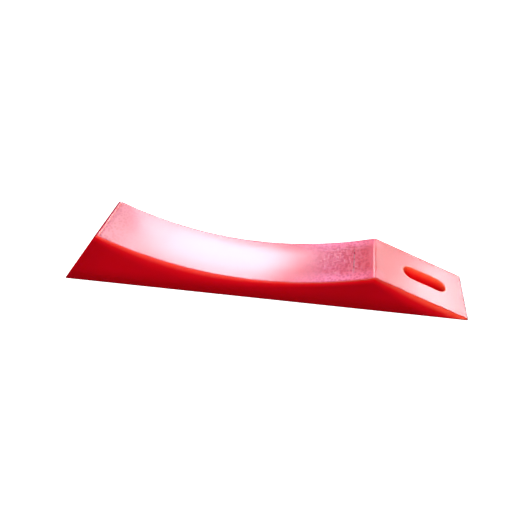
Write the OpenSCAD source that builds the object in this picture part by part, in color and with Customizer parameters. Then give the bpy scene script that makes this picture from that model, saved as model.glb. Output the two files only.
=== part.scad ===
// Felling wedge moulded in one solid piece, in millimetres.
// +X runs from the toe under the heel to the nose, +Y across the body, +Z up.
// The origin is on the sole, midway between toe and nose and on the centre line.

/* [Body] */
// Overall length from the toe to the tip of the nose
body_length = 250; // [225:1:275]
// Width of the body
body_width = 42; // [30:0.5:50]

/* [Heel] */
// Height of the heel's top edge above the sole
heel_height = 36.2; // [32:0.1:42]
// How far the heel's top edge stands back from the toe
heel_rake = 26.3; // [15:0.1:32]

/* [Saddle] */
// Radius of the hollow that the top sweeps down into
saddle_radius = 233; // [215:1:300]

/* [Ramp] */
// Height of the ridge between the saddle and the ramp
ridge_height = 24.7; // [22:0.1:28]
// Length of the ramp, from the ridge to the tip of the nose
ramp_length = 56.4; // [50:0.1:65]

/* [Edges] */
// Radius along the heel's top edge
heel_round = 2; // [0.5:0.1:4]
// Radius along the ridge
ridge_round = 3; // [0.5:0.1:4]
// Radius of the nose's tip
nose_round = 0.8; // [0.8:0.1:1.5]
// Radius of the toe's tip
toe_round = 0.5; // [0.2:0.1:1.5]

/* [Slot] */
// End-to-end length of the lanyard slot in the ramp
slot_length = 26.2; // [20:0.1:30]
// Width of the lanyard slot
slot_width = 11.2; // [8:0.1:14]
// Solid left between the slot and the tip of the nose
slot_margin = 12.4; // [8:0.1:16]

/* [Hidden] */
$fn = 240;
overshoot = 1;
// Largest angle between neighbouring points of a rounding
corner_step = 6;

// Corners of the side view before rounding, and the centres of the two tips
heel_top = [heel_rake - body_length / 2, heel_height];
ridge = [body_length / 2 - ramp_length, ridge_height];
nose = [body_length / 2 - nose_round, nose_round];
toe = [toe_round - body_length / 2, toe_round];

// Centre of the saddle's arc, which runs through the heel's top edge and the ridge
chord = ridge - heel_top;
saddle_rise = sqrt(pow(saddle_radius, 2) - chord * chord / 4);
saddle_centre = (heel_top + ridge) / 2 + unit([-chord[1], chord[0]]) * saddle_rise;

// Lines that leave each corner and just touch the tip below it
ramp_dir = tangent_dir(ridge, nose, nose_round, 1);
ramp_out = [-ramp_dir[1], ramp_dir[0]];
heel_dir = tangent_dir(heel_top, toe, toe_round, -1);
heel_out = [heel_dir[1], -heel_dir[0]];

// Centres of the circles that round the two corners
ridge_centre = corner_centre(ridge, ramp_dir, ramp_out, ridge_round);
heel_centre = corner_centre(heel_top, heel_dir, heel_out, heel_round);

slot_nose_end = body_length / 2 - slot_margin - slot_width / 2;
slot_ridge_end = slot_nose_end - slot_length + slot_width;

function unit(v) = v / norm(v);

// Direction from a corner along the line that touches a circle, on its outer side
function tangent_dir(corner, centre, radius, side) =
    let (to = centre - corner, turn = side * asin(radius / norm(to)))
    unit([to[0] * cos(turn) - to[1] * sin(turn), to[0] * sin(turn) + to[1] * cos(turn)]);

// Centre of a circle of this radius that touches the line and the saddle from inside the body
function corner_centre(corner, dir, out, radius) =
    let (
        start = corner - radius * out,
        from_saddle = start - saddle_centre,
        along = from_saddle * dir,
        reach = saddle_radius + radius
    )
    start + dir * (sqrt(along * along - from_saddle * from_saddle + reach * reach) - along);

function angle_of(v) = atan2(v[1], v[0]);

// Points along a rounding, turning anticlockwise about its centre from one angle to another
function arc_points(centre, radius, from, to) =
    let (steps = ceil((to - from) / corner_step))
    [for (i = [0 : steps]) centre + radius * direction(from + (to - from) * i / steps)];

function direction(angle) = [cos(angle), sin(angle)];

function reversed(points) = [for (i = [len(points) - 1 : -1 : 0]) points[i]];

// The same points with the last one moved straight on, so that the line ends inside the saddle's cut
function run_on(points) =
    let (last = len(points) - 1, step = unit(points[last] - points[last - 1]))
    [for (i = [0 : last]) i < last ? points[i] : points[i] + overshoot * step];

// Side view: straight faces between round corners and tips, with the saddle cut out of the top
module side_profile() {
    toe_points = arc_points(toe, toe_round, angle_of(heel_out), 270);
    nose_points = arc_points(nose, nose_round, -90, angle_of(ramp_out));
    ridge_points = arc_points(
        ridge_centre, ridge_round, angle_of(ramp_out), angle_of(saddle_centre - ridge_centre)
    );
    heel_points = arc_points(
        heel_centre, heel_round, angle_of(saddle_centre - heel_centre), angle_of(heel_out)
    );
    difference() {
        polygon(concat(
            toe_points,
            nose_points,
            run_on(ridge_points),
            reversed(run_on(reversed(heel_points)))
        ));
        translate(saddle_centre)
            circle(r = saddle_radius);
    }
}

module lanyard_slot() {
    depth = ridge_height + 2 * overshoot;
    for (x = [slot_ridge_end, slot_nose_end])
        translate([x, 0, -overshoot])
            cylinder(d = slot_width, h = depth);
    translate([slot_ridge_end, -slot_width / 2, -overshoot])
        cube([slot_nose_end - slot_ridge_end, slot_width, depth]);
}

module wedge_body() {
    color("crimson")
        difference() {
            translate([0, body_width / 2, 0])
                rotate([90, 0, 0])
                    linear_extrude(height = body_width)
                        side_profile();
            lanyard_slot();
        }
}

wedge_body();
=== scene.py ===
"""A felling wedge, one solid moulding of red plastic, on a plain white studio floor. Sizes are in metres."""

from math import asin, atan2, cos, pi, radians, sin, sqrt

import bmesh
import bpy
from mathutils import Matrix, Vector


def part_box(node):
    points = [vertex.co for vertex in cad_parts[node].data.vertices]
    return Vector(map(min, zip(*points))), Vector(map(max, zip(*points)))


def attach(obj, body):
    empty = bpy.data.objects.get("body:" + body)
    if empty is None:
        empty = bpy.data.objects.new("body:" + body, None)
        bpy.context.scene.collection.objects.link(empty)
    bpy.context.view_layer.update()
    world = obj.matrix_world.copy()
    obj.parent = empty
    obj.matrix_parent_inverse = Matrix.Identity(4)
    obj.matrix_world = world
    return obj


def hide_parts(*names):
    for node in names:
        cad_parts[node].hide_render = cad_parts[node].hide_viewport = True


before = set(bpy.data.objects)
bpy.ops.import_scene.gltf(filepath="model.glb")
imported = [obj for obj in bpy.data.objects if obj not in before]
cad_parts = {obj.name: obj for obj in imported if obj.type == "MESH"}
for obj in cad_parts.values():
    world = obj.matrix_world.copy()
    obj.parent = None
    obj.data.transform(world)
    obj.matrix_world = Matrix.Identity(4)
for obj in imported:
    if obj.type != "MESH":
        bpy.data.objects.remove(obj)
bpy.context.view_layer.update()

MM = 0.001
NODE = "wedge_body"
LOW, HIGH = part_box(NODE)
CENTRE = (LOW + HIGH) / 2

# Side view, with corners as they are before rounding
HEEL_HEIGHT = 36.2 * MM
HEEL_RAKE = 26.3 * MM
SADDLE_RADIUS = 233 * MM
RIDGE_HEIGHT = 24.7 * MM
RAMP_LENGTH = 56.4 * MM
HEEL_ROUND = 2 * MM
RIDGE_ROUND = 3 * MM
NOSE_ROUND = 0.8 * MM
TOE_ROUND = 0.5 * MM
HEEL_X = LOW.x + HEEL_RAKE
RIDGE_X = HIGH.x - RAMP_LENGTH

# Rounding of the long edges where the sides meet the other faces
TOP_EDGE = 0.5 * MM
NOSE_EDGE = 0.4 * MM
SOLE_EDGE = 0.3 * MM

# How far the saddle's shading leans outwards at its long edges, as a surface that is slightly crowned does
CROWN = 0.028

# Lanyard slot, cut straight down through the ramp
SLOT_LENGTH = 26.2 * MM
SLOT_WIDTH = 11.2 * MM
SLOT_MARGIN = 12.4 * MM
SLOT_TOP_ROUND = 0.6 * MM
SLOT_SOLE_ROUND = 0.5 * MM

# Steps along each arc of the mesh
TOE_STEPS = 10
NOSE_STEPS = 14
RIDGE_STEPS = 10
SADDLE_STEPS = 96
HEEL_STEPS = 12
EDGE_STEPS = 5
SLOT_STEPS = 28


# ---------------------------------------------------------------- side view, as points in X and Z


def direction(angle):
    return Vector((cos(angle), sin(angle)))


def angle_of(v):
    return atan2(v.y, v.x)


def turned(v, angle):
    return Matrix.Rotation(angle, 2) @ v


def corner_centre(corner, along, outward, radius, saddle_centre):
    """Centre of a circle that touches a straight face and the saddle from inside the body."""
    start = corner - radius * outward
    offset = start - saddle_centre
    reach = SADDLE_RADIUS + radius
    back = offset.dot(along)
    return start + along * (sqrt(back * back - offset.length_squared + reach * reach) - back)


class SideView:
    """The wedge's outline seen from the side, anticlockwise, with the outward normal at each point."""

    def __init__(self):
        self.heel_top = Vector((HEEL_X, HEEL_HEIGHT))
        self.ridge = Vector((RIDGE_X, RIDGE_HEIGHT))
        self.nose = Vector((HIGH.x - NOSE_ROUND, NOSE_ROUND))
        self.toe = Vector((LOW.x + TOE_ROUND, TOE_ROUND))
        chord = self.ridge - self.heel_top
        rise = sqrt(SADDLE_RADIUS**2 - chord.length_squared / 4)
        up = Vector((-chord.y, chord.x)).normalized()
        self.saddle_centre = (self.heel_top + self.ridge) / 2 + up * rise
        to_nose = self.nose - self.ridge
        self.ramp_along = turned(to_nose.normalized(), asin(NOSE_ROUND / to_nose.length))
        self.ramp_normal = Vector((-self.ramp_along.y, self.ramp_along.x))
        to_toe = self.toe - self.heel_top
        self.heel_along = turned(to_toe.normalized(), -asin(TOE_ROUND / to_toe.length))
        self.heel_normal = Vector((self.heel_along.y, -self.heel_along.x))
        self.ridge_centre = corner_centre(
            self.ridge, self.ramp_along, self.ramp_normal, RIDGE_ROUND, self.saddle_centre
        )
        self.heel_centre = corner_centre(
            self.heel_top, self.heel_along, self.heel_normal, HEEL_ROUND, self.saddle_centre
        )

    def ramp_height(self, x):
        """Height of the ramp's flat face above the sole."""
        return self.ridge.y - (x - self.ridge.x) * self.ramp_normal.x / self.ramp_normal.y

    def outline(self):
        """[(point, normal, edge radius)], and the numbers of the points that start the sole and the ramp."""
        ramp = angle_of(self.ramp_normal)
        heel = angle_of(self.heel_normal)
        ridge_end = angle_of(self.saddle_centre - self.ridge_centre)
        heel_start = angle_of(self.saddle_centre - self.heel_centre)
        toe_arc = arc(self.toe, TOE_ROUND, heel, 1.5 * pi, TOE_STEPS, SOLE_EDGE)
        nose_arc = arc(self.nose, NOSE_ROUND, -0.5 * pi, ramp, NOSE_STEPS, NOSE_EDGE)
        ridge_arc = arc(self.ridge_centre, RIDGE_ROUND, ramp, ridge_end, RIDGE_STEPS, TOP_EDGE)
        saddle_arc = arc(
            self.saddle_centre, SADDLE_RADIUS, ridge_end - pi, heel_start - pi, SADDLE_STEPS, TOP_EDGE, -1
        )
        heel_arc = arc(self.heel_centre, HEEL_ROUND, heel_start, heel, HEEL_STEPS, TOP_EDGE)
        points = toe_arc + nose_arc + ridge_arc + saddle_arc[1:-1] + heel_arc
        return points, len(toe_arc) - 1, len(toe_arc) + len(nose_arc) - 1


def arc(centre, radius, start, end, steps, edge, side=1):
    """Points along an arc. side is -1 where the body lies outside the circle."""
    angles = [start + (end - start) * i / steps for i in range(steps + 1)]
    return [(centre + radius * direction(a), side * direction(a), edge) for a in angles]


# ---------------------------------------------------------------- the wedge's mesh


class Solid:
    """A bmesh that keeps the exact normal of each vertex."""

    def __init__(self):
        self.bm = bmesh.new()
        self.normals = []

    def vertex(self, point, normal):
        """A vertex that stays inside the CAD box, whose top the heel's rounding only just reaches."""
        self.normals.append(normal.normalized())
        return self.bm.verts.new((point[0], point[1], min(point[2], HIGH.z)))

    def strip(self, first, second):
        """Quads between two closed rings of vertices."""
        for i in range(len(first)):
            j = (i + 1) % len(first)
            self.bm.faces.new((first[i], first[j], second[j], second[i]))

    def fill_round_hole(self, corners, ring):
        """A flat face between four corners with a round-ended hole in it."""
        loops = (corners, ring)
        edges = [edge_between(self.bm, loop[i - 1], loop[i]) for loop in loops for i in range(len(loop))]
        bmesh.ops.triangle_fill(self.bm, edges=edges, use_beauty=True)

    def mesh(self, name):
        bmesh.ops.recalc_face_normals(self.bm, faces=self.bm.faces)
        mesh = bpy.data.meshes.new(name)
        self.bm.to_mesh(mesh)
        self.bm.free()
        mesh.shade_smooth()
        mesh.normals_split_custom_set_from_vertices(self.normals)
        return mesh


def edge_between(bm, a, b):
    return bm.edges.get((a, b)) or bm.edges.new((a, b))


def on_saddle(point):
    """Whether a point of the side view is on the saddle, and not on the sole below it."""
    return point.y > HIGH.z / 3 and HEEL_X < point.x < RIDGE_X


def body_rings(solid, outline):
    """Rings of vertices from the front side face, over the rounded edges, to the back side face."""
    half = (HIGH.y - LOW.y) / 2
    rings = []
    turns = [-0.5 * pi * (1 - i / EDGE_STEPS) for i in range(EDGE_STEPS + 1)]
    for turn in turns + [-t for t in reversed(turns)]:
        side = -1 if len(rings) <= EDGE_STEPS else 1
        ring = []
        for point, normal, edge in outline:
            inset = point - normal * edge * (1 - cos(turn))
            y = CENTRE.y + side * (half - edge) + edge * sin(turn)
            lean = side * CROWN if on_saddle(point) else 0
            rounded = Vector((normal.x * cos(turn), sin(turn) + lean, normal.y * cos(turn)))
            ring.append(solid.vertex((inset.x, y, inset.y), rounded))
        rings.append(ring)
    return rings


def slot_stations():
    """(point on the slot's centre line, direction from it to the wall) all round the slot."""
    nose_end = HIGH.x - SLOT_MARGIN - SLOT_WIDTH / 2
    ridge_end = nose_end - SLOT_LENGTH + SLOT_WIDTH
    stations = []
    for x, start in ((nose_end, -0.5 * pi), (ridge_end, 0.5 * pi)):
        for i in range(SLOT_STEPS + 1):
            angle = start + pi * i / SLOT_STEPS
            stations.append((Vector((x, CENTRE.y, 0)), Vector((cos(angle), sin(angle), 0))))
    return stations


def slot_rim(solid, view, radius, face_normal, on_ramp):
    """Rings that round the slot's edge, from the flat face down to the slot's wall."""
    rings = []
    for i in range(EDGE_STEPS + 1):
        ring = []
        for core, out in slot_stations():
            centre = core + out * (SLOT_WIDTH / 2 + radius)
            centre.z = view.ramp_height(centre.x) - radius / face_normal.z if on_ramp else radius
            turn = (-out).slerp(face_normal, 1 - i / EDGE_STEPS)
            ring.append(solid.vertex(centre + radius * turn, turn))
        rings.append(ring)
    return rings


def wedge_mesh():
    view = SideView()
    outline, sole_start, ramp_start = view.outline()
    solid = Solid()
    rings = body_rings(solid, outline)
    count = len(outline)
    front, back = rings[EDGE_STEPS], rings[EDGE_STEPS + 1]
    for first, second in zip(rings, rings[1:]):
        if first is not front:
            solid.strip(first, second)
    for i in range(count):
        j = (i + 1) % count
        if i not in (sole_start, ramp_start):
            solid.bm.faces.new((front[i], front[j], back[j], back[i]))
    solid.bm.faces.new(rings[0])
    solid.bm.faces.new(rings[-1])
    ramp_normal = Vector((view.ramp_normal.x, 0, view.ramp_normal.y))
    top = slot_rim(solid, view, SLOT_TOP_ROUND, ramp_normal, True)
    bottom = slot_rim(solid, view, SLOT_SOLE_ROUND, Vector((0, 0, -1)), False)
    tube = top + bottom[::-1]
    for first, second in zip(tube, tube[1:]):
        solid.strip(first, second)
    for start, ring in ((ramp_start, top[0]), (sole_start, bottom[0])):
        corners = (front[start], front[start + 1], back[start + 1], back[start])
        solid.fill_round_hole(corners, ring)
    return solid.mesh("wedge")


# ---------------------------------------------------------------- shader helpers


class Shade:
    """Short names for the shader nodes used below."""

    def __init__(self, owner):
        owner.use_nodes = True
        self.nodes = owner.node_tree.nodes
        self.links = owner.node_tree.links

    def put(self, socket, value):
        if isinstance(value, bpy.types.NodeSocket):
            self.links.new(value, socket)
        else:
            socket.default_value = value

    def parts(self, vector):
        """The X, Y and Z of a vector."""
        node = self.nodes.new("ShaderNodeSeparateXYZ")
        self.put(node.inputs[0], vector)
        return node.outputs

    def math(self, operation, *values, clamp=False):
        node = self.nodes.new("ShaderNodeMath")
        node.operation = operation
        node.use_clamp = clamp
        for socket, value in zip(node.inputs, values):
            self.put(socket, value)
        return node.outputs[0]

    def times(self, first, *others):
        """The product of several values."""
        for value in others:
            first = self.math("MULTIPLY", first, value)
        return first

    def most(self, first, *others):
        """The largest of several values."""
        for value in others:
            first = self.math("MAXIMUM", first, value)
        return first

    def grow(self, value, gain, start):
        """start, plus gain times the value."""
        return self.math("MULTIPLY_ADD", value, gain, start)

    def length(self, a, b):
        """Length of the flat vector (a, b)."""
        squares = self.math("ADD", self.math("POWER", a, 2), self.math("POWER", b, 2))
        return self.math("SQRT", squares)

    def ramp(self, value, start, end, low=0.0, high=1.0):
        """Smooth change from low at start to high at end."""
        node = self.nodes.new("ShaderNodeMapRange")
        node.interpolation_type = "SMOOTHSTEP"
        for socket, part in zip(node.inputs, (value, start, end, low, high)):
            self.put(socket, part)
        return node.outputs[0]

    def band(self, value, middle, half_width):
        """1 in the middle of a narrow band, 0 outside it."""
        away = self.math("ABSOLUTE", self.math("SUBTRACT", value, middle))
        return self.ramp(away, half_width, 0)

    def blend(self, factor, first, second, kind="MIX"):
        node = self.nodes.new("ShaderNodeMix")
        node.data_type = "RGBA"
        node.blend_type = kind
        for socket, value in ((node.inputs[0], factor), (node.inputs[6], first), (node.inputs[7], second)):
            self.put(socket, value)
        return node.outputs[2]

    def scaled(self, position, size, stretch):
        """A position counted in features of the given size, drawn out by stretch along each axis."""
        node = self.nodes.new("ShaderNodeVectorMath")
        node.operation = "MULTIPLY"
        self.put(node.inputs[0], position)
        node.inputs[1].default_value = [1 / (size * k) for k in stretch]
        return node.outputs[0]

    def noise(self, position, size, detail, stretch=(1, 1, 1)):
        """Noise from 0 to 1 with features of the given size."""
        node = self.nodes.new("ShaderNodeTexNoise")
        self.put(node.inputs["Vector"], self.scaled(position, size, stretch))
        node.inputs["Scale"].default_value = 1
        node.inputs["Detail"].default_value = detail
        return node.outputs["Fac"]

    def specks(self, position, size, stretch):
        """Scattered round specks: 1 in the middle of each, 0 between them."""
        node = self.nodes.new("ShaderNodeTexVoronoi")
        self.put(node.inputs["Vector"], self.scaled(position, size, stretch))
        node.inputs["Scale"].default_value = 1
        return self.ramp(node.outputs["Distance"], *SPECK_EDGE)

    def bump(self, height, distance, under=None):
        node = self.nodes.new("ShaderNodeBump")
        self.put(node.inputs["Height"], height)
        self.put(node.inputs["Distance"], distance)
        node.inputs["Strength"].default_value = 1
        if under is not None:
            self.put(node.inputs["Normal"], under)
        return node.outputs["Normal"]


# ---------------------------------------------------------------- red plastic

# Side faces: a deep red painted as in shade beside the lighter top faces, a painted lit copy of it, painted
# shade near the sole, and a painted glow below the upper edges
DEEP = (0.44, 0.0006, 0.006, 1)
DEEP_PAINTED_LIGHT = (0.515, 0.0006, 0.007, 1)
DEEP_SHADED_NEAR_SOLE = (0.33, 0.0008, 0.004, 1)
FAINT_GLOW = (0.76, 0.003, 0.011, 1)
GLOW = (1, 0.07, 0.052, 1)
GLOW_NEAR_RIDGE = (0.6, 0.03, 0.025, 1)
GLOW_UNDER_RAMP = (1, 0.09, 0.05, 1)

# Saddle and ramp. The saddle's pink cast is partly painted highlight, and its sheen, tint and pale colour
# near the heel are painted highlight; SPECK is the grain's own colour
SADDLE = (0.6, 0.01, 0.032, 1)
SADDLE_PAINTED_SHEEN = (0.78, 0.095, 0.2, 1)
SADDLE_HIGHLIGHT_TINT = (0, 0.022, 0.065, 1)
SADDLE_SHEEN_NEAR_HEEL = (0.68, 0.09, 0.15, 1)
RAMP = (0.68, 0.007, 0.018, 1)
SPECK = (0.3, 0.003, 0.02, 1)

# Slot and heel face: painted glow in the slot and round its rim, and painted light and shade on the heel
# face
SLOT_RIM_GLOW = (0.8, 0.05, 0.025, 1)
SLOT_WALL_GLOW = (1, 0.003, 0.01, 1)
SLOT_LIP_GLOW = (1, 0.13, 0.055, 1)
HEEL_FOOT_SHADED = (0.4, 0.0015, 0.006, 1)
HEEL_HEAD_LIT = (0.62, 0.004, 0.012, 1)

# Thin lines: painted shade along the rounded edges, the sole and the nose, a painted highlight strip behind
# the heel's top edge, and the witness line, a real mark
RIM_SHADE_LINE = (0.3, 0.01, 0.018, 1)
FRONT_SHADE_LINE = (0.5, 0.02, 0.03, 1)
SOLE_SHADE_LINE = (0.16, 0.002, 0.003, 1)
HEEL_HIGHLIGHT_STRIP = (1, 0.12, 0.08, 1)
HEEL_EDGE_SHADE = (0.36, 0.006, 0.01, 1)
NOSE_SHADE_LINE = (0.2, 0.01, 0.05, 1)
WITNESS_LINE = (0.2, 0.004, 0.015, 1)

# Stretches in X over which the look changes, mostly where painted glow, light, shade and sheen fade in or
# out
GLOW_GROWS = (-115 * MM, -65 * MM)
GLOW_NARROWS = (-50 * MM, 30 * MM)
GLOW_REDDENS = (-30 * MM, 55 * MM)
FLANK_DARKENS = (10 * MM, 50 * MM)
FLANK_LIGHTENS = (RIDGE_X - 10 * MM, RIDGE_X + 32 * MM)
RAMP_BEGINS = (RIDGE_X - 8 * MM, RIDGE_X + 8 * MM)
SLOT_BEGINS = (60 * MM, 70 * MM)
TIP_BEGINS = (HIGH.x - 5 * MM, HIGH.x - 3 * MM)
SHEEN_BEGINS = (8 * MM, 42 * MM)
HEEL_FADES = (-98 * MM, -60 * MM)
RIM_DARKENS = (-85 * MM, -10 * MM)
WEAR_BEGINS = (12 * MM, 54 * MM)
WEAR_ENDS = (RIDGE_X - 5 * MM, RIDGE_X)
HEEL_WEAR_ENDS = (-95 * MM, -80 * MM)
BACK_EDGE_DULLS = (0, 30 * MM)

# Middle and half width, in X, of the places that are set apart
HIGHLIGHT_TINT_PLACE = (42 * MM, 22 * MM)
SHINY_PLACE = (-81 * MM, 16 * MM)
DULL_PLACE = (18 * MM, 16 * MM)
WITNESS_PLACE = (56.4 * MM, 0.7 * MM)
RIDGE_PLACE = (RIDGE_X + 0.5 * MM, 0.8 * MM)
NOSE_PLACE = (HIGH.x - 0.3 * MM, 0.9 * MM)

# Depth of the painted glow below the upper faces
GLOW_REACH = (4.8 * MM, 1.8 * MM)
RAMP_GLOW_REACH = 3.6 * MM
FAINT_GLOW_SPREAD = 2.4

# Surface texture
SPECK_SIZE = 1.7 * MM
SPECK_STRETCH = (1, 4 / 3, 1)
SPECK_EDGE = (0.62, 0.34)
GRAIN_SIZE = 1.7 * MM
GRAIN_DEPTH = 14e-6
WORN_GRAIN_DEPTH = 22e-6
STREAK_SIZE = 1.6 * MM
STREAK_STRETCH = (1, 12, 1)
STREAK_DEPTH = 6e-6
CLOUD_SIZE = 6 * MM


def depth_below(shade, x, z, point, normal):
    """Distance behind a flat face that is square to the XZ plane."""
    along = shade.math("MULTIPLY_ADD", z, -normal.y, point.dot(normal))
    return shade.math("MULTIPLY_ADD", x, -normal.x, along)


class Place:
    """Where a point of the wedge is and which way it faces, as shader values. Masks run from 0 to 1."""

    def __init__(self, shade, view):
        source = shade.nodes.new("ShaderNodeTexCoord")
        self.position = source.outputs["Object"]
        self.x, self.y, self.z = shade.parts(self.position)
        self.normal_x, self.normal_y, self.normal_z = shade.parts(source.outputs["Normal"])
        self.measure(shade, view)
        self.mark_faces(shade)
        self.mark_lines(shade)

    def measure(self, shade, view):
        """Depths under the saddle, the ramp and the heel face, and in from the nearer side face."""
        from_centre_x = shade.math("SUBTRACT", self.x, view.saddle_centre.x)
        from_centre_z = shade.math("SUBTRACT", self.z, view.saddle_centre.y)
        from_centre = shade.length(from_centre_x, from_centre_z)
        under_saddle = shade.math("SUBTRACT", from_centre, SADDLE_RADIUS)
        heel_point = view.toe + TOE_ROUND * view.heel_normal
        self.under_ramp = depth_below(shade, self.x, self.z, view.ridge, view.ramp_normal)
        self.behind_heel = depth_below(shade, self.x, self.z, heel_point, view.heel_normal)
        self.depth = shade.math("MINIMUM", under_saddle, self.under_ramp)
        self.from_side = shade.math("SUBTRACT", (HIGH.y - LOW.y) / 2, shade.math("ABSOLUTE", self.y))

    def mark_faces(self, shade):
        self.upward = shade.ramp(self.normal_z, 0.3, 0.8)
        self.above_sole = shade.ramp(self.normal_z, -0.9, -0.6)
        self.down_ramp = shade.ramp(self.x, *FLANK_LIGHTENS)
        self.on_heel = shade.times(
            shade.ramp(self.normal_x, -0.5, -0.75), shade.ramp(self.behind_heel, 0.5 * MM, 0.1 * MM)
        )
        self.in_slot = shade.times(
            shade.ramp(self.from_side, SLOT_WIDTH, 1.2 * SLOT_WIDTH),
            shade.ramp(self.upward, 0.9, 0.4),
            shade.ramp(self.x, *SLOT_BEGINS),
            shade.ramp(self.x, *TIP_BEGINS[::-1]),
            self.above_sole,
        )
        self.worn_saddle = shade.times(
            shade.ramp(self.x, *WEAR_BEGINS), shade.ramp(self.x, *WEAR_ENDS[::-1])
        )
        self.worn = shade.most(self.worn_saddle, shade.ramp(self.x, *HEEL_WEAR_ENDS[::-1], 0, 0.5))

    def mark_lines(self, shade):
        self.near_heel_top = shade.times(
            shade.ramp(self.normal_z, 0.5, 0.8), shade.ramp(self.z, 30 * MM, 32 * MM)
        )
        self.heel_line = shade.times(
            self.near_heel_top, shade.band(self.behind_heel, 2.5 * MM, 0.6 * MM)
        )
        self.heel_edge = shade.times(
            shade.ramp(self.behind_heel, 1.2 * MM, 0.5 * MM), shade.ramp(self.z, 32 * MM, 34 * MM)
        )
        self.ridge_line = shade.times(shade.band(self.x, *RIDGE_PLACE), self.upward)
        self.witness = shade.times(
            shade.band(self.x, *WITNESS_PLACE), shade.ramp(self.from_side, 4 * MM, 14 * MM), 0.75
        )


def flank_colour(shade, at):
    """Side faces: deep red with painted light and shade, darker towards the sole, and a painted glow towards
    the saddle and the ramp.
    """
    lit = shade.most(shade.ramp(at.x, *FLANK_DARKENS[::-1]), at.down_ramp)
    lit = shade.times(lit, shade.ramp(at.behind_heel, 0, 20 * MM))
    deep = shade.blend(lit, DEEP, DEEP_PAINTED_LIGHT)
    deep = shade.blend(shade.ramp(at.z, 12 * MM, 0.5 * MM), deep, DEEP_SHADED_NEAR_SOLE)
    reach = shade.grow(at.down_ramp, RAMP_GLOW_REACH, shade.ramp(at.x, *GLOW_NARROWS, *GLOW_REACH))
    reach = shade.times(reach, shade.ramp(at.x, *GLOW_GROWS, 0.45, 1))
    faint_glow = shade.ramp(at.depth, shade.times(reach, FAINT_GLOW_SPREAD), 1 * MM)
    glow = shade.math("POWER", shade.ramp(at.depth, reach, 0.8 * MM), 1.3)
    glow_red = shade.blend(shade.ramp(at.x, *GLOW_REDDENS), GLOW, GLOW_NEAR_RIDGE)
    glow_red = shade.blend(at.down_ramp, glow_red, GLOW_UNDER_RAMP)
    return shade.blend(glow, shade.blend(faint_glow, deep, FAINT_GLOW), glow_red)


def top_colour(shade, at):
    """Saddle and ramp: painted sheen along the saddle's long edges, a painted highlight tint across its
    middle, paler painted sheen near the heel, and a painted orange glow round the slot.
    """
    painted_sheen = shade.times(shade.ramp(at.from_side, 12 * MM, 2 * MM), shade.ramp(at.x, *SHEEN_BEGINS))
    top = shade.blend(painted_sheen, SADDLE, SADDLE_PAINTED_SHEEN)
    top = shade.blend(shade.band(at.x, *HIGHLIGHT_TINT_PLACE), top, SADDLE_HIGHLIGHT_TINT, "ADD")
    top = shade.blend(shade.ramp(at.x, *HEEL_FADES[::-1]), top, SADDLE_SHEEN_NEAR_HEEL)
    top = shade.blend(shade.ramp(at.x, *RAMP_BEGINS), top, RAMP)
    slot_middle = HIGH.x - SLOT_MARGIN - SLOT_LENGTH / 2
    past_middle = shade.math("ABSOLUTE", shade.math("SUBTRACT", at.x, slot_middle))
    past_straight = shade.math("SUBTRACT", past_middle, (SLOT_LENGTH - SLOT_WIDTH) / 2)
    from_core = shade.length(shade.most(past_straight, 0), at.y)
    near_slot = shade.ramp(from_core, SLOT_WIDTH / 2 + 2.2 * MM, SLOT_WIDTH / 2 + 0.3 * MM)
    return shade.blend(near_slot, top, SLOT_RIM_GLOW)


def slot_colour(shade, at):
    """The slot's wall, painted with a glow that is strongest at its upper lip."""
    lip = shade.math("POWER", shade.ramp(at.under_ramp, 8 * MM, 0), 3)
    return shade.blend(lip, SLOT_WALL_GLOW, SLOT_LIP_GLOW)


def heel_colour(shade, at):
    """The heel's end face, with painted light that makes it lighter towards its top."""
    return shade.blend(shade.ramp(at.z, 2 * MM, 28 * MM), HEEL_FOOT_SHADED, HEEL_HEAD_LIT)


def with_lines(shade, at, body):
    """The thin lines that run along the edges, which are painted shade and one painted highlight strip, and
    the faint witness mark across the saddle.
    """
    rim_strength = shade.ramp(at.x, *RIM_DARKENS, 0.1, 0.65)
    rim = shade.times(
        shade.band(at.normal_y, -0.6, 0.4),
        shade.ramp(at.depth, 1.5 * MM, 0.5 * MM),
        shade.ramp(at.from_side, 1.5 * MM, 0.5 * MM),
        rim_strength,
    )
    sole = shade.times(shade.band(at.z, 0, 1.2 * MM), at.above_sole)
    heel_strip = shade.times(at.near_heel_top, shade.band(at.behind_heel, 1.6 * MM, 0.7 * MM))
    front = shade.times(at.upward, shade.band(at.y, LOW.y + 0.3 * MM, 0.6 * MM), rim_strength)
    nose = shade.band(at.x, *NOSE_PLACE)
    lines = (
        (rim, RIM_SHADE_LINE),
        (sole, SOLE_SHADE_LINE),
        (heel_strip, HEEL_HIGHLIGHT_STRIP),
        (at.heel_edge, HEEL_EDGE_SHADE),
        (front, FRONT_SHADE_LINE),
        (nose, NOSE_SHADE_LINE),
        (at.witness, WITNESS_LINE),
    )
    for mask, colour in lines:
        body = shade.blend(mask, body, colour)
    return body


def surface_normal(shade, at):
    """A fine matt grain, deepest on the saddle near the ridge, and faint streaks across the width."""
    grain_depth = shade.grow(at.worn_saddle, WORN_GRAIN_DEPTH, GRAIN_DEPTH)
    grain = shade.noise(at.position, GRAIN_SIZE, 3)
    streaks = shade.noise(at.position, STREAK_SIZE, 2, STREAK_STRETCH)
    grained = shade.bump(grain, shade.times(grain_depth, at.upward))
    return shade.bump(streaks, STREAK_DEPTH, grained)


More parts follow.
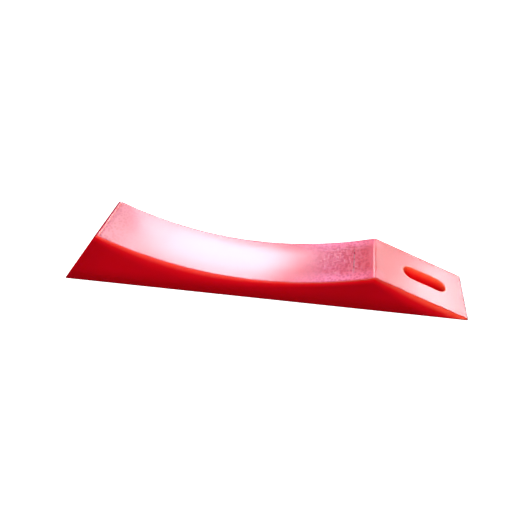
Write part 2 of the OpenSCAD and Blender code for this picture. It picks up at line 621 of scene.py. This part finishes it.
def surface_roughness(shade, at):
    """Satin, glossier along the middle of the saddle and duller along its lines and its back edge."""
    satin = shade.grow(shade.noise(at.position, CLOUD_SIZE, 3), 0.03, 0.23)
    on_saddle_face = shade.times(shade.ramp(at.under_ramp, 0, 2 * MM), at.upward)
    polish = shade.times(shade.ramp(at.from_side, 3 * MM, 15 * MM, 0.065, 0.112), on_saddle_face)
    back_edge = shade.times(
        shade.ramp(at.y, HIGH.y - 2.4 * MM, HIGH.y - 0.6 * MM),
        at.upward,
        shade.ramp(at.x, *BACK_EDGE_DULLS, 0, 0.14),
    )
    rougher = shade.grow(shade.most(at.heel_line, at.witness), 0.3, back_edge)
    return shade.math("ADD", shade.math("SUBTRACT", satin, polish), rougher)


def surface_gloss(shade, at, spots):
    """How strongly the surface reflects: less on the worn specks, the lines and the heel face."""
    on_specks = shade.times(spots, shade.grow(at.worn, 0.44, 0.03))
    gloss = shade.math("SUBTRACT", shade.grow(at.worn, 0.19, 0.51), on_specks)
    gloss = shade.grow(shade.band(at.x, *SHINY_PLACE), 0.12, gloss)
    gloss = shade.grow(shade.band(at.x, *DULL_PLACE), -0.09, gloss)
    dull = shade.most(at.heel_line, at.witness, at.ridge_line, at.heel_edge, at.on_heel)
    return shade.math("MULTIPLY_ADD", dull, -0.35, gloss, clamp=True)


def red_plastic():
    """Translucent red plastic that glows along its upper edges, partly through subsurface scattering and
    partly by glow painted into its colour.
    """
    material = bpy.data.materials.new("red_plastic")
    shade = Shade(material)
    shader = shade.nodes["Principled BSDF"]
    at = Place(shade, SideView())
    spots = shade.times(shade.specks(at.position, SPECK_SIZE, SPECK_STRETCH), at.upward)
    # The top faces take lighter colours than the side faces: painted light from above and painted shade on
    # the sides, on one plastic.
    body = shade.blend(at.upward, flank_colour(shade, at), top_colour(shade, at))
    body = shade.blend(at.on_heel, body, heel_colour(shade, at))
    body = shade.blend(at.in_slot, body, slot_colour(shade, at))
    body = with_lines(shade, at, body)
    body = shade.blend(shade.times(spots, shade.grow(at.worn, 0.3, 0.06)), body, SPECK)
    shade.put(shader.inputs["Base Color"], body)
    shade.put(shader.inputs["Normal"], surface_normal(shade, at))
    shade.put(shader.inputs["Roughness"], surface_roughness(shade, at))
    shade.put(shader.inputs["Specular IOR Level"], surface_gloss(shade, at, spots))
    shader.inputs["IOR"].default_value = 1.5
    shader.inputs["Subsurface Weight"].default_value = 1.0
    shader.inputs["Subsurface Radius"].default_value = (1.0, 0.3, 0.15)
    shader.inputs["Subsurface Scale"].default_value = 2 * MM
    return material


# ---------------------------------------------------------------- studio

# Camera, with angles in degrees and azimuth from the front side towards the nose
CAMERA_AIM = CENTRE + Vector((-4.26 * MM, 0.13 * MM, -1.1 * MM))
CAMERA_AZIMUTH = 9.48
CAMERA_ELEVATION = 35.08
CAMERA_DISTANCE = 364.9 * MM
CAMERA_LENS = 40.85

LIGHT_DISTANCE = 1.2

# The world as a light, which fades to nothing at the horizon
WORLD_STRENGTH = 0.14
WORLD_TINT = (0.9, 0.85, 1, 1)
WORLD_FADE = 0.3

FLOOR_HALF = 6
FLOOR_WHITE = (0.9, 0.9, 0.9, 1)
FLOOR_NEAR = (0.3, 0.8)
FLOOR_FAR = (1.5, 1.05)


def place_camera():
    """The camera looks down on the front side from a little to the right."""
    azimuth, elevation = radians(CAMERA_AZIMUTH), radians(CAMERA_ELEVATION)
    offset = Vector((sin(azimuth) * cos(elevation), -cos(azimuth) * cos(elevation), sin(elevation)))
    camera = bpy.data.cameras.new("camera")
    camera.sensor_width = 36
    camera.lens = CAMERA_LENS
    camera.clip_start = 0.01
    holder = bpy.data.objects.new("camera", camera)
    holder.location = CAMERA_AIM + CAMERA_DISTANCE * offset
    holder.rotation_euler = (-offset).to_track_quat("-Z", "Y").to_euler()
    bpy.context.scene.collection.objects.link(holder)
    bpy.context.scene.camera = holder


def softbox(name, azimuth, elevation, size, radiance, colour=(1, 1, 1)):
    """A rectangular light aimed at the wedge. Angles are in degrees, azimuth anticlockwise from +X."""
    light = bpy.data.lights.new(name, "AREA")
    light.shape = "RECTANGLE"
    light.size, light.size_y = size
    light.energy = radiance * pi * size[0] * size[1]
    light.color = colour
    azimuth, elevation = radians(azimuth), radians(elevation)
    towards = Vector((cos(azimuth) * cos(elevation), sin(azimuth) * cos(elevation), sin(elevation)))
    holder = bpy.data.objects.new(name, light)
    holder.location = towards * LIGHT_DISTANCE
    holder.rotation_euler = towards.to_track_quat("Z", "Y").to_euler()
    bpy.context.scene.collection.objects.link(holder)


def softboxes():
    """Narrow lights behind the wedge make the highlights, and wide panels the soft light around them."""
    softbox("back_light", 95.1, 39.5, size=(0.192, 0.33), radiance=15.9, colour=(0.95, 0.85, 0.95))
    softbox("back_fill", 109, 32, size=(0.58, 0.52), radiance=1.8, colour=(0.85, 0.77, 1))
    softbox("key_light", 49.0, 17.9, size=(0.209, 0.083), radiance=30.5, colour=(1, 0.95, 1))
    softbox("right_panel", 69, 34.1, size=(0.616, 0.737), radiance=5.3)
    softbox("front_panel", -90, 28, size=(1.2, 0.8), radiance=5.9)
    softbox("left_panel", 180, 30, size=(0.8, 0.8), radiance=2.2)


def white_world():
    """White to the eye, and a dim fill as a light."""
    world = bpy.data.worlds.new("studio")
    shade = Shade(world)
    shade.nodes.clear()
    up = shade.parts(shade.nodes.new("ShaderNodeTexCoord").outputs["Generated"])[2]
    above = shade.math("DIVIDE", up, WORLD_FADE, clamp=True)
    fill = shade.nodes.new("ShaderNodeBackground")
    fill.inputs["Strength"].default_value = WORLD_STRENGTH
    shade.put(fill.inputs["Color"], shade.blend(above, (0, 0, 0, 1), WORLD_TINT))
    seen = shade.nodes.new("ShaderNodeBackground")
    seen.inputs["Color"].default_value = (1, 1, 1, 1)
    mix = shade.nodes.new("ShaderNodeMixShader")
    shade.put(mix.inputs[0], shade.nodes.new("ShaderNodeLightPath").outputs["Is Camera Ray"])
    shade.put(mix.inputs[1], fill.outputs[0])
    shade.put(mix.inputs[2], seen.outputs[0])
    shade.put(shade.nodes.new("ShaderNodeOutputWorld").inputs["Surface"], mix.outputs[0])
    bpy.context.scene.world = world


def floor_glow(shade):
    """Light from the floor itself, which is dark under the wedge as a painted shadow, and a little brighter
    far away.
    """
    place = shade.parts(shade.nodes.new("ShaderNodeTexCoord").outputs["Object"])
    along, across = (shade.math("ABSOLUTE", place[i]) for i in (0, 1))
    clear_x = shade.ramp(along, HIGH.x - 4 * MM, HIGH.x - 1 * MM)
    clear_y = shade.ramp(across, HIGH.y - 4 * MM, HIGH.y - 1 * MM)
    (near, near_glow), (far, far_glow) = FLOOR_NEAR, FLOOR_FAR
    distance_glow = shade.ramp(shade.most(along, across), near, far, near_glow, far_glow)
    return shade.times(shade.most(clear_x, clear_y), distance_glow)


def white_floor():
    """A plain floor that fills the view and keeps out of the wedge's reflections."""
    bm = bmesh.new()
    bmesh.ops.create_grid(bm, x_segments=1, y_segments=1, size=FLOOR_HALF)
    mesh = bpy.data.meshes.new("floor")
    bm.to_mesh(mesh)
    bm.free()
    material = bpy.data.materials.new("floor")
    shade = Shade(material)
    shader = shade.nodes["Principled BSDF"]
    shader.inputs["Base Color"].default_value = FLOOR_WHITE
    shader.inputs["Roughness"].default_value = 0.9
    shader.inputs["Emission Color"].default_value = (1, 1, 1, 1)
    shade.put(shader.inputs["Emission Strength"], floor_glow(shade))
    mesh.materials.append(material)
    floor = bpy.data.objects.new("floor", mesh)
    bpy.context.scene.collection.objects.link(floor)
    floor.visible_glossy = False
    floor.visible_diffuse = False


place_camera()
softboxes()
white_world()
white_floor()

wedge = bpy.data.objects.new("wedge", wedge_mesh())
wedge.data.materials.append(red_plastic())
bpy.context.scene.collection.objects.link(wedge)
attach(wedge, "root")
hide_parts(NODE)

bpy.context.scene.display_settings.display_device = "sRGB"
bpy.context.scene.view_settings.view_transform = "Standard"
